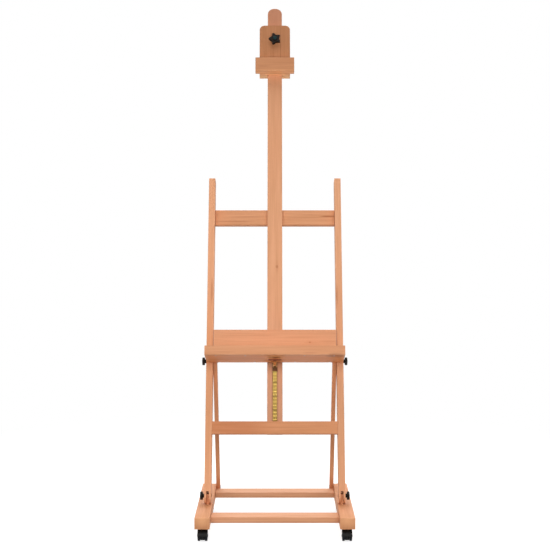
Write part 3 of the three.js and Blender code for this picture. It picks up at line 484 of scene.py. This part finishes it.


# Each mark: its centre, half its length along the grain and half its width in millimetres, how
# strong it is, and its colour. The small marks on the boards' faces are knots and streaks in the
# wood. The broad ones, and those on undersides, ends and edges, are painted light and shade.
BOARD_MARKS = {
    "canvas_ledge": [
        (on_frame(140.5, 601, LEDGE_FACE), 6, 4.5, 0.75, "#a8643c"),
        (on_frame(140.5, 601, LEDGE_FACE), 30, 9, 0.25, "#c07c50"),
        (on_frame(215, 604, LEDGE_FACE), 60, 3, 0.45, "#c08055"),
        (on_frame(-60, 588, LEDGE_FACE), 80, 3, 0.35, "#c4875a"),
        (on_frame(-200, 586, LEDGE_FACE), 40, 3, 0.4, "#b97a4c"),
        (on_frame(100, 619, LEDGE_FACE), 90, 2.5, 0.3, "#c4875a"),
    ],
    "upper_cross_rail": [
        (on_frame(-180, 1128, UPPER_RAIL_FACE), 110, 4, 0.5, "#b3704a"),
        (on_frame(-120, 1148, UPPER_RAIL_FACE), 90, 3.5, 0.35, "#b3704a"),
        (on_frame(110, 1143, UPPER_RAIL_FACE), 110, 3, 0.35, "#b3704a"),
        (on_frame(222, 1150, UPPER_RAIL_FACE), 40, 4, 0.8, "#a05c38"),
        (on_frame(120, 1130, UPPER_RAIL_FACE), 130, 4, 0.25, "#c98a58"),
        # Painted shade along the rail's lower edge.
        (on_frame(0, 1110, UPPER_RAIL_FACE), 700, 6, 0.45, "#a9683f"),
    ],
    "lower_cross_rail": [
        (on_frame(60, 262, LOWER_RAIL_FACE), 120, 3, 0.3, "#b5744a"),
        # Painted shade over the rail's left half, and along its lower edge.
        (on_frame(-170, 262, LOWER_RAIL_FACE), 180, 50, 0.45, "#b8683a"),
        (on_frame(0, 236.5, LOWER_RAIL_FACE), 700, 6, 0.45, "#a9683f"),
    ],
    "tray_bottom": [
        # Painted light on the underside where the pawl's release plate shadows it; then painted shade
        # on the underside at the right end and over the left half.
        (on_frame(0, TRAY_UNDERSIDE, 124), 44, 56, 1.0, "#ffb070"),
        (on_frame(236, TRAY_UNDERSIDE, 162), 46, 34, 0.5, "#7c4425"),
        (on_frame(-150, TRAY_UNDERSIDE, 120), 190, 60, 0.2, "#b06a40"),
    ],
    "tray_front_lip": [
        # Painted shade on the lip's lower edge at the right end.
        (on_frame(236, TRAY_UNDERSIDE, 182), 46, 14, 0.5, "#7c4425"),
        (on_frame(136, 530, LIP_FACE), 36, 4, 0.45, "#b3704a"),
        (on_frame(-190, 533, LIP_FACE), 50, 4, 0.35, "#b3704a"),
    ],
    "clamp_front_plate": [
        (on_frame(24.9, 1880, CLAMP_FACE), 160, 1.8, 0.6, "#8d5433"),
        (on_frame(-6, 1850, CLAMP_FACE), 60, 5, 0.25, "#a9673f"),
        # Painted light on the plate's underside.
        (on_frame(0, UNDER_CLAMP, 22), 12, 130, 1.0, "#ffbd88"),
    ],
    "clamp_head_block": [
        (on_frame(-52, 1799, HEAD_BLOCK_FACE), 42, 4, 0.25, "#a0603a"),
        # Painted light on the block's underside.
        (on_frame(0, 1772, 44), 220, 23, 1.0, "#f6b27e"),
    ],
    # Painted light on the back plate's underside.
    "clamp_back_plate": [(on_frame(0, UNDER_CLAMP, -16), 12, 130, 1.0, "#ffca98")],
    "mast": [
        # Painted shade on the mast's top end.
        (on_frame(0, 2105, MAST_FACE), 210, 80, 0.6, "#b5745a"),
        (on_frame(8.6, 925.7, 11.2), 9, 6.5, 0.75, "#a5623a"),
        (on_frame(8.6, 925.7, 11.2), 36, 7, 0.25, "#b9764c"),
        # Painted shade on the mast below the tray, in the tray's shade, and along the walls of the
        # rack's groove.
        (on_frame(0, 380, MAST_FACE), 420, 90, 0.45, "#c0886b"),
        (on_frame(-10.5, 380, 9), 190, 4, 0.6, "#8f5a30"),
        (on_frame(10.5, 380, 9), 190, 4, 0.6, "#8f5a30"),
        (on_frame(8, 900, MAST_FACE), 260, 3, 0.3, "#cb8c60"),
    ],
    "left_upright": [
        (on_frame(-256, 818, UPRIGHT_FACE), 70, 6, 0.6, "#b06c44"),
        # Painted shade in the fork's slot, and over the upright's lower half.
        (on_frame(-FORK_MIDDLE_OUT, 18, 20), 13, 9, 1.0, "#642302"),
        (on_frame(-262, 420, UPRIGHT_FACE), 480, 90, 0.45, "#c98453"),
    ],
    "right_upright": [
        (on_frame(252.4, 797, UPRIGHT_FACE), 60, 6, 0.6, "#b06c44"),
        # Painted shade in the fork's slot, and over the upright's lower half.
        (on_frame(FORK_MIDDLE_OUT, 18, 20), 13, 9, 1.0, "#642302"),
        (on_frame(262, 420, UPRIGHT_FACE), 480, 90, 0.3, "#c98a60"),
    ],
}
# Painted shade along each base rail's lower front edge.
for rail in ("front_base_rail", "rear_base_rail"):
    BOARD_MARKS[rail] = [(rail_edge(rail), 700, 6, 0.4, "#a9683f")]
for side, sign in SIDES:
    BOARD_MARKS[side + "_foot"] = foot_marks(side + "_foot")
    # Painted shade at the foot of each strut.
    BOARD_MARKS[side + "_strut"] = [
        (joint_place(side + "_strut_turn"), 70, 30, 0.4, "#a84a1c")]
    # Painted light on the undersides of the clamp's cheeks.
    BOARD_MARKS[side + "_clamp_cheek"] = [
        (on_frame(sign * 46, UNDER_CLAMP, 0), 12, 60, 1.0, "#ffc48f")]
    # Painted shade at the top of each pivot tongue, inside the fork's slot.
    BOARD_MARKS[side + "_pivot_tongue"] = [
        (on_frame(sign * FORK_MIDDLE_OUT, 10, 6), 9, 9, 0.95, "#541d02")]

# The same for the worn steel, mostly painted light and shade. In order: painted light on the
# bracket's flange and on the pawl's stem, which sit in shade under the tray; a deeper patch on the
# release plate; painted shade at the pawl's nose; and a paler patch at the inner end of each
# pivot bolt.
WORN_STEEL_MARKS_AND_PAINTED_LIGHT = [
    (on_frame(0, 521, 28), 32, 32, 0.85, "#eeae7e"),
    (on_frame(0, 513, 60), 9, 55, 1.0, "#f0a05c"),
    (on_frame(0, 513, 132), 44, 20, 0.9, "#7a2a06"),
    (on_frame(0, 500, 19), 16, 15, 0.9, "#3c2406"),
    *((TILT_PIVOT + ACROSS * (sign * BOLT_HEAD_OUT * MM), 22, 22, 0.8, "#b5764a")
      for _, sign in SIDES),
]
WORN_AND_PAINTED_LIGHT_STEEL_NODES = ("ratchet_pawl", "pawl_bracket", "left_pivot_bolt", "right_pivot_bolt")


def strut_line(side):
    """The direction of a strut's grain, from its foot bolt to its knob, without the sideways step."""
    line = joint_place(side + "_strut_knob_turn") - joint_place(side + "_strut_turn")
    return Vector((0, line.y, line.z)).normalized()


def finish_boards():
    """Each board with the way its grain runs, and a seed of its own, so that no two match."""
    across = ["front_base_rail", "rear_base_rail", "upper_cross_rail", "lower_cross_rail",
              "tray_bottom", "tray_front_lip", "canvas_ledge", "clamp_head_block",
              "slider_back_plate"]
    upright = ["left_upright", "right_upright", "mast", "clamp_front_plate", "clamp_back_plate",
               "left_clamp_cheek", "right_clamp_cheek", "left_slider_cheek", "right_slider_cheek"]
    for seed, name in enumerate(across):
        finish_board(name, ACROSS, 100 + seed)
    for seed, name in enumerate(upright):
        finish_board(name, MAST_UP, 200 + seed)
    for seed, (side, _) in enumerate(SIDES):
        finish_board(side + "_foot", BACK, 300 + seed)
        finish_board(side + "_pivot_tongue", UP, 310 + seed)
        finish_board(side + "_tray_end", MAST_FRONT, 320 + seed)
        finish_board(side + "_strut", strut_line(side), 330 + seed)


def finish_fittings():
    brass = tarnished_brass()
    bronze = bronzed_steel("bronzed_steel", "#6b3f1c", "#472811", 0.8)
    # The worn copy carries the painted light and shade of the marks above.
    worn_steel_with_painted_light = bronzed_steel("bronzed_steel_worn_painted_light", "#85461c", "#5e2f10", 0.2, WORN_STEEL_MARKS_AND_PAINTED_LIGHT)
    zinc = zinc_plate()
    knob = moulded_plastic("black_phenolic", "#140b05", "#2f1f14", 0.55, 0.5)
    hood = moulded_plastic("charcoal_nylon", "#141312", "#2b2926", 0.55, 0.5)
    wheel = moulded_plastic("black_nylon_tread", "#101217", "#26292f", 0.46, 0.4)
    by_slot = {"brass": brass, "bronzed_steel": bronze, "zinc_steel": zinc,
               "black_plastic": knob, "caster_plastic": hood, "wheel_plastic": wheel}
    for part in frame["record"]["subparts"]:
        material = by_slot.get(part["material_slot"])
        if material is None:
            continue  # a board
        node = nodes[part["node"]]
        node.data.materials.clear()
        node.data.materials.append(worn_steel_with_painted_light if part["node"] in WORN_AND_PAINTED_LIGHT_STEEL_NODES else material)
        smooth_by_angle(node, 40)
    return by_slot


# ---- Small fittings: screws, moulded caps and sleeves --------------------------------------------
def lay_on(facing):
    """A turn that points +Z along the facing direction."""
    return facing.normalized().to_track_quat("Z", "Y").to_matrix()


def new_piece(name, mesh_maker, body, material):
    """A mesh object from its maker. It rides on a body and takes its finish from a slot."""
    draft = bmesh.new()
    mesh_maker(draft)
    bmesh.ops.recalc_face_normals(draft, faces=draft.faces)
    mesh = bpy.data.meshes.new(name)
    draft.to_mesh(mesh)
    draft.free()
    mesh.materials.append(material)
    piece = bpy.data.objects.new(name, mesh)
    bpy.context.scene.collection.objects.link(piece)
    for face in mesh.polygons:
        face.use_smooth = True
    split = piece.modifiers.new("sharp_over_angle", "EDGE_SPLIT")
    split.split_angle = math.radians(35)
    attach(piece, body)
    return piece


def turned(profile, centre, facing, facets=32):
    """A maker of a turned solid. The profile's [radius, height] points, in millimetres, run from
    the axis to the axis, or back to where they start for a ring; height is along the facing."""
    turn = lay_on(facing)

    def point(radius, height, angle):
        local = Vector((radius * math.cos(angle), radius * math.sin(angle), height)) * MM
        return centre + turn @ local

    def make(draft):
        rings = []
        for radius, height in profile:
            count = 1 if radius == 0 else facets
            rings.append([
                draft.verts.new(point(radius, height, math.tau * step / facets))
                for step in range(count)])
        for low, high in zip(rings, rings[1:]):
            for step in range(facets):
                after = (step + 1) % facets
                corners = [low[step % len(low)], low[after % len(low)],
                           high[after % len(high)], high[step % len(high)]]
                draft.faces.new(list(dict.fromkeys(corners)))
        if profile[0] == profile[-1]:
            bmesh.ops.remove_doubles(draft, verts=draft.verts, dist=1e-7)

    return make


def screw_heads(places, facing, radius, facets=24):
    """A maker of countersunk cross-head screws, a hair proud of the wood, with tapered recesses."""
    turn = lay_on(facing)
    arm, slim, depth, rim = radius * 0.62, radius * 0.13, radius * 0.35, 0.35
    cross = [(arm, -slim), (arm, slim), (slim, slim), (slim, arm), (-slim, arm), (-slim, slim),
             (-arm, slim), (-arm, -slim), (-slim, -slim), (-slim, -arm), (slim, -arm), (slim, -slim)]

    def make(draft):
        for number, place in enumerate(places):
            spin = Matrix.Rotation(0.7 * number + 0.3, 3, "Z")

            def ring(points, height, shrink=1.0):
                return [draft.verts.new(place + turn @ (spin @ Vector(
                    (x * shrink, y * shrink, height))) * MM) for x, y in points]

            def band(low, high):
                for step in range(len(low)):
                    after = (step + 1) % len(low)
                    draft.faces.new((low[step], low[after], high[after], high[step]))

            circle = [(radius * math.cos(math.tau * step / facets),
                       radius * math.sin(math.tau * step / facets)) for step in range(facets)]
            sunk = ring(circle, -1.6, 0.5)
            edge = ring(circle, 0.05)
            top = ring(circle, rim, 0.93)
            lip = ring(cross, rim)
            floor = ring(cross, rim - depth, 0.6)
            draft.faces.new(sunk)
            band(sunk, edge)
            band(edge, top)
            band(lip, floor)
            draft.faces.new(floor)
            borders = []
            for loop in (top, lip):
                for step in range(len(loop)):
                    borders.append(draft.edges.get((loop[step], loop[(step + 1) % len(loop)])))
            bmesh.ops.triangle_fill(draft, use_beauty=True, edges=borders)

    return make


def add_screws(zinc, brass):
    """Set by set: its name, its body, where its heads face, their radius, and their places."""
    for name, body, facing, radius, places in (
        ("slider_back_screws", "tray", -MAST_FRONT, 4.0,
         [on_frame(x, TRAY_UNDERSIDE + up, SLIDER_BACK) for x in (-39.5, 39.5) for up in (40, 104)]),
        ("clamp_back_screws", "clamp", -MAST_FRONT, 4.0,
         [on_frame(x, CLAMP_UNDERSIDE + up, CLAMP_BACK) for x in (-48, 48) for up in (24, 104, 184)]),
        ("lower_rail_screws", "frame", -MAST_FRONT, 4.0,
         [on_frame(x, LOWER_RAIL_MIDDLE, MAST_BACK) for x in (-16, 16)]),
        ("upper_rail_screws", "frame", -MAST_FRONT, 4.0,
         [on_frame(x, UPPER_RAIL_MIDDLE + up, UPPER_RAIL_BACK) for x in (-16, 16) for up in (-14, 14)]),
        ("ledge_screws", "tray", -MAST_UP, 4.0,
         [on_frame(x, TRAY_UNDERSIDE, LEDGE_SCREW_LINE) for x in (-220, -80, 80, 220)]),
        ("lip_screws", "tray", -MAST_UP, 3.4,
         [on_frame(x, TRAY_UNDERSIDE, LIP_SCREW_LINE) for x in (-230, -115, 115, 230)]),
    ):
        new_piece(name, screw_heads(places, facing, radius), body, zinc)
    bracket_places = [on_frame(x, BRACKET_UNDERSIDE, BRACKET_SCREW_LINE) for x in (-10.5, 10.5)]
    new_piece("bracket_screws", screw_heads(bracket_places, -MAST_UP, 2.6), "tray", brass)


def add_caps(by_slot):
    disc = [(0, -0.6), (8.0, -0.6), (8.4, 0), (8.0, 0.6), (6.4, 1.0), (6.1, 0.7), (3.2, 0.9), (0, 1.0)]
    for side, sign in SIDES:
        for knob in ("pivot_knob", "strut_knob"):
            body = side + "_" + knob
            centre = joint_place(body + "_turn")
            centre.x = sign * SIDE_KNOB_FACE_OUT * MM
            new_piece(body + "_cap", turned(disc, centre, ACROSS * sign), body,
                      by_slot["black_plastic"])
    teal = moulded_plastic("dark_teal_cap", "#0d2a2b", "#1f4a4a", 0.36, 0.6)
    dome = [(0, -0.5), (8.6, -0.5), (8.6, 0.1), (8.1, 0.7), (5.0, 1.3), (0, 1.5)]
    centre = on_frame(0, CLAMP_KNOB_MIDDLE, CLAMP_KNOB_FACE)
    new_piece("clamp_knob_cap", turned(dome, centre, MAST_FRONT), "clamp_screw",
              teal)
    sleeve = [(13.8, -8.5), (16, -8.5), (17.2, -7.3), (17.2, 7.3), (16, 8.5), (13.8, 8.5),
              (13.8, -8.5)]
    axle_cap = [(0, -0.5), (5.2, -0.5), (5.2, 0.3), (4.6, 0.8), (2.0, 1.1), (0, 1.1)]
    for end in ("front", "rear"):
        for side, outwards in SIDES:
            axle = joint_place(f"{end}_{side}_wheel_spin")
            new_piece(f"{end}_{side}_axle_sleeve", turned(sleeve, axle, ACROSS, 40),
                      f"{end}_{side}_caster", by_slot["caster_plastic"])
            for face, sign in (("inner", -1), ("outer", 1)):
                direction = ACROSS * sign * outwards
                new_piece(f"{end}_{side}_axle_cap_{face}",
                          turned(axle_cap, axle + direction * (WHEEL_FACE_OUT * MM), direction, 24),
                          f"{end}_{side}_wheels", by_slot["caster_plastic"])


# ---- Lights, floor and camera --------------------------------------------------------------------
WORLD_GLOW = 0.06  # how much the plain white world lights the easel
FLOOR_GLOW = 0.74  # what the floor adds, to the eye, to its own grey

EYE_BEFORE_FEET = 4.248  # metres
EYE_HEIGHT = 1.283  # metres
LOOK_DOWN = 3.71  # degrees
LENS_MM = 75.73
LENS_SHIFT = 0.0003


def softbox(name, place, aim, width, height, watts):
    lamp = bpy.data.lights.new(name, "AREA")
    lamp.shape = "RECTANGLE"
    lamp.size = width
    lamp.size_y = height
    lamp.energy = watts
    holder = bpy.data.objects.new(name, lamp)
    holder.location = place
    holder.rotation_euler = (Vector(aim) - Vector(place)).to_track_quat("-Z", "Y").to_euler()
    bpy.context.scene.collection.objects.link(holder)


def seen_straight(owner):
    """1 where a ray comes straight from the eye, a reflection or glass, 0 where it only lights."""
    ray = add_node(owner, "LightPath")
    seen = add_node(
        owner, "Math",
        {0: ray.outputs["Is Camera Ray"], 1: ray.outputs["Is Glossy Ray"]}, operation="MAXIMUM")
    seen = add_node(
        owner, "Math",
        {0: seen.outputs["Value"], 1: ray.outputs["Is Transmission Ray"]}, operation="MAXIMUM")
    return seen.outputs["Value"]


def white_room():
    """A world that lights softly but looks plain white itself, to the eye and in reflections."""
    world = bpy.data.worlds.new("white_room")
    bpy.context.scene.world = world
    world.use_nodes = True
    world.node_tree.nodes.clear()
    strength = add_node(
        world, "MapRange", {"Value": seen_straight(world), "To Min": WORLD_GLOW, "To Max": 1.0})
    glow = add_node(
        world, "Background", {"Color": (1, 1, 1, 1), "Strength": strength.outputs["Result"]})
    add_node(world, "OutputWorld", {"Surface": glow.outputs["Background"]})


def pale_floor():
    """A white sheet of floor. It fades to plain white away from the easel and keeps its shadow."""
    mesh = bpy.data.meshes.new("floor")
    sheet = bmesh.new()
    bmesh.ops.create_circle(sheet, cap_ends=True, segments=96, radius=60)
    sheet.to_mesh(mesh)
    sheet.free()
    floor = bpy.data.objects.new("floor", mesh)
    bpy.context.scene.collection.objects.link(floor)
    floor.location.z = -0.5 * MM
    material = bpy.data.materials.new("matt_white_floor")
    material.use_nodes = True
    material.node_tree.nodes.clear()
    place = add_node(material, "TexCoord")
    away = add_node(material, "VectorMath", {0: place.outputs["Object"]}, operation="LENGTH")
    far = add_node(
        material, "MapRange",
        {"Value": away.outputs["Value"], "From Min": 0.9, "From Max": 2.2})
    seen = seen_straight(material)
    paint = add_node(material, "BsdfDiffuse", {"Color": (0.5, 0.5, 0.5, 1)})
    lift = add_node(material, "Math", {0: seen, 1: FLOOR_GLOW}, operation="MULTIPLY")
    glow = add_node(
        material, "Emission", {"Color": (1, 1, 1, 1), "Strength": lift.outputs["Value"]})
    near = add_node(material, "AddShader", {0: paint.outputs[0], 1: glow.outputs[0]})
    plain = add_node(material, "Emission", {"Color": (1, 1, 1, 1), "Strength": seen})
    whole = add_node(
        material, "MixShader", {0: far.outputs["Result"], 1: near.outputs[0], 2: plain.outputs[0]})
    add_node(material, "OutputMaterial", {"Surface": whole.outputs[0]})
    mesh.materials.append(material)


def camera_in_front():
    """A viewer's eye, square to the easel, some way before the feet and looking down a little."""
    lens = bpy.data.cameras.new("viewer")
    lens.sensor_fit = "HORIZONTAL"
    lens.sensor_width = 36
    lens.lens = LENS_MM
    lens.shift_x = LENS_SHIFT
    lens.clip_end = 200
    viewer = bpy.data.objects.new("viewer", lens)
    feet_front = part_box("left_foot")[0][1]
    viewer.location = (0, feet_front - EYE_BEFORE_FEET, EYE_HEIGHT)
    viewer.rotation_euler = (math.radians(90 - LOOK_DOWN), 0, 0)
    bpy.context.scene.collection.objects.link(viewer)
    bpy.context.scene.camera = viewer


bpy.context.scene.view_settings.view_transform = "Standard"
camera_in_front()
white_room()
pale_floor()
softbox("top_softbox", place=(0, 0.2, 6.5), aim=(0, 0.2, 0), width=5, height=5, watts=210)
softbox("front_softbox", place=(0, -2.4, 1.5), aim=(0, 0.3, 1.1), width=2.6, height=1.2, watts=56)
softbox("rear_softbox", place=(0, 2.6, 3.0), aim=(0, 0, 0.1), width=3.0, height=1.6, watts=92)
for side, sign in SIDES:
    softbox(side + "_softbox", place=(3.4 * sign, 0.1, 1.3), aim=(0, 0.1, 0.9),
            width=1.8, height=2.2, watts=26)
finish_boards()
fittings = finish_fittings()
add_screws(fittings["zinc_steel"], fittings["brass"])
add_caps(fittings)
